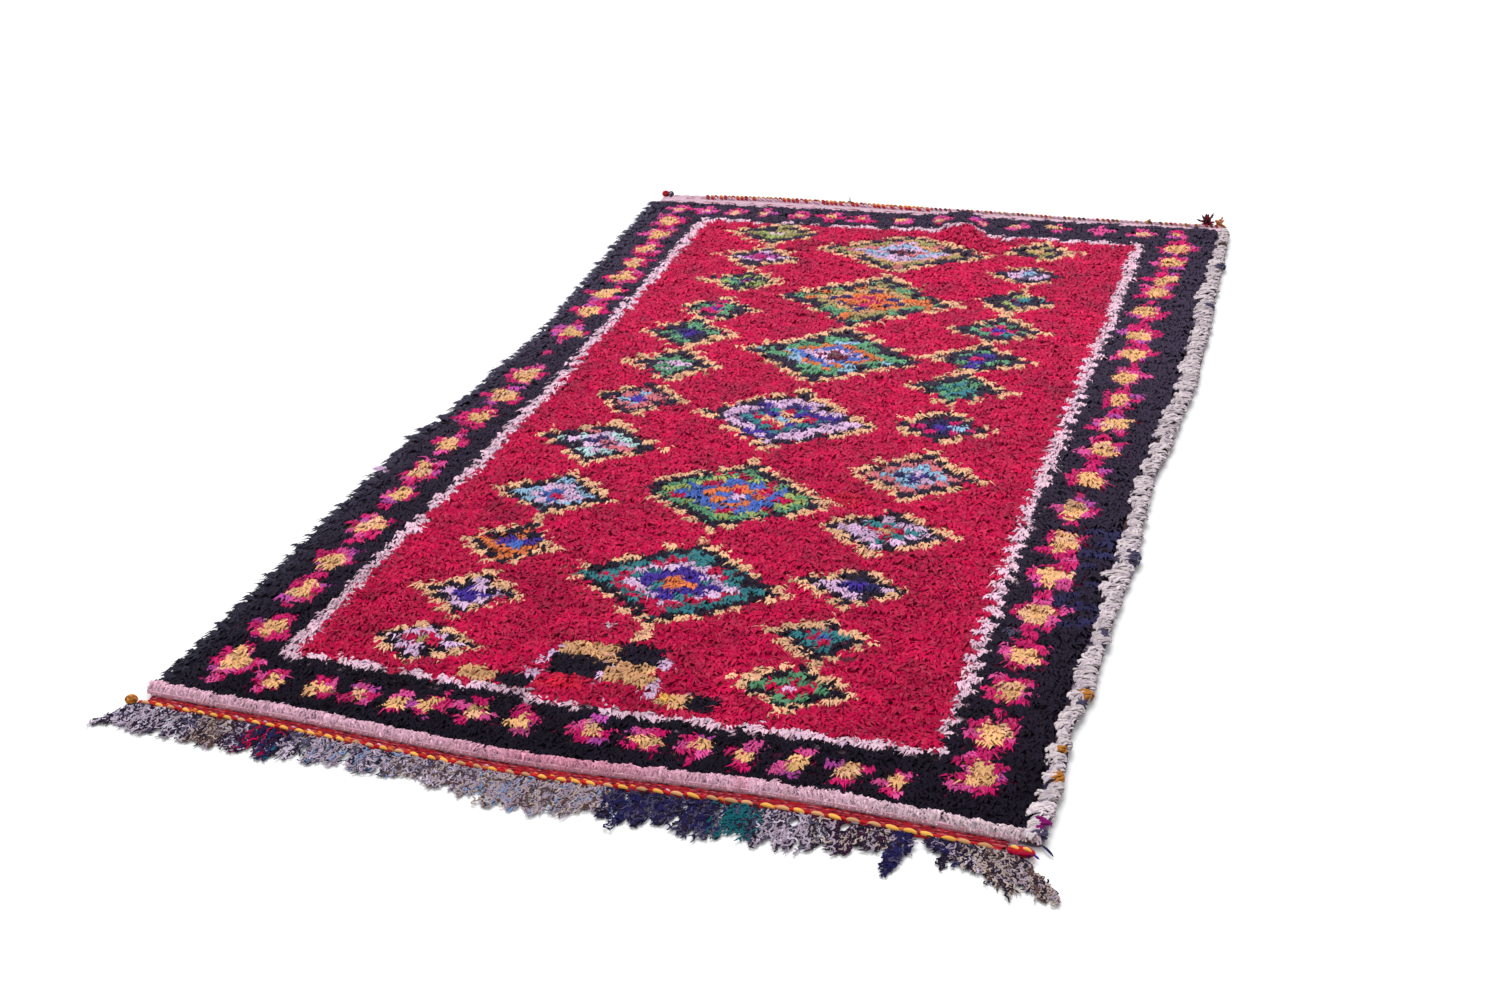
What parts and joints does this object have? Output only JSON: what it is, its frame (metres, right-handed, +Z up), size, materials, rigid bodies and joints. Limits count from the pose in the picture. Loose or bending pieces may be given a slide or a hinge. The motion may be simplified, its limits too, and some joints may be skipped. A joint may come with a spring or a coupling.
{
  "type": "rag rug",
  "caption": "Hand-knotted shaggy rag-pile rug lying flat, with a lozenge ground, a starred border, an overcast side, braided ends and a fringe at one end.",
  "frame": {"origin": "middle of the pile body's flat underside, on the floor", "axes": "+Y along the rug's length from the fringed near end to the plain far end, +X across its width towards the overcast side, +Z up out of the pile"},
  "size_m": [1.5612, 2.4497, 0.0387],
  "materials": {
    "pile": "matte",
    "selvage": "matte",
    "band_brick": "matte",
    "band_pink": "matte",
    "braid": "matte",
    "fringe": "matte",
    "knot": "matte"
  },
  "bodies": {
    "root": {"pile_body": "pile", "selvage_right": "selvage", "band_near": "band_brick", "band_far": "band_pink", "braid_near": "braid", "braid_far": "braid", "fringe_near": "fringe", "knot_near_left": "knot", "knot_near_right": "knot", "knot_far_left": "knot", "knot_far_right": "knot"}
  },
  "joints": []
}
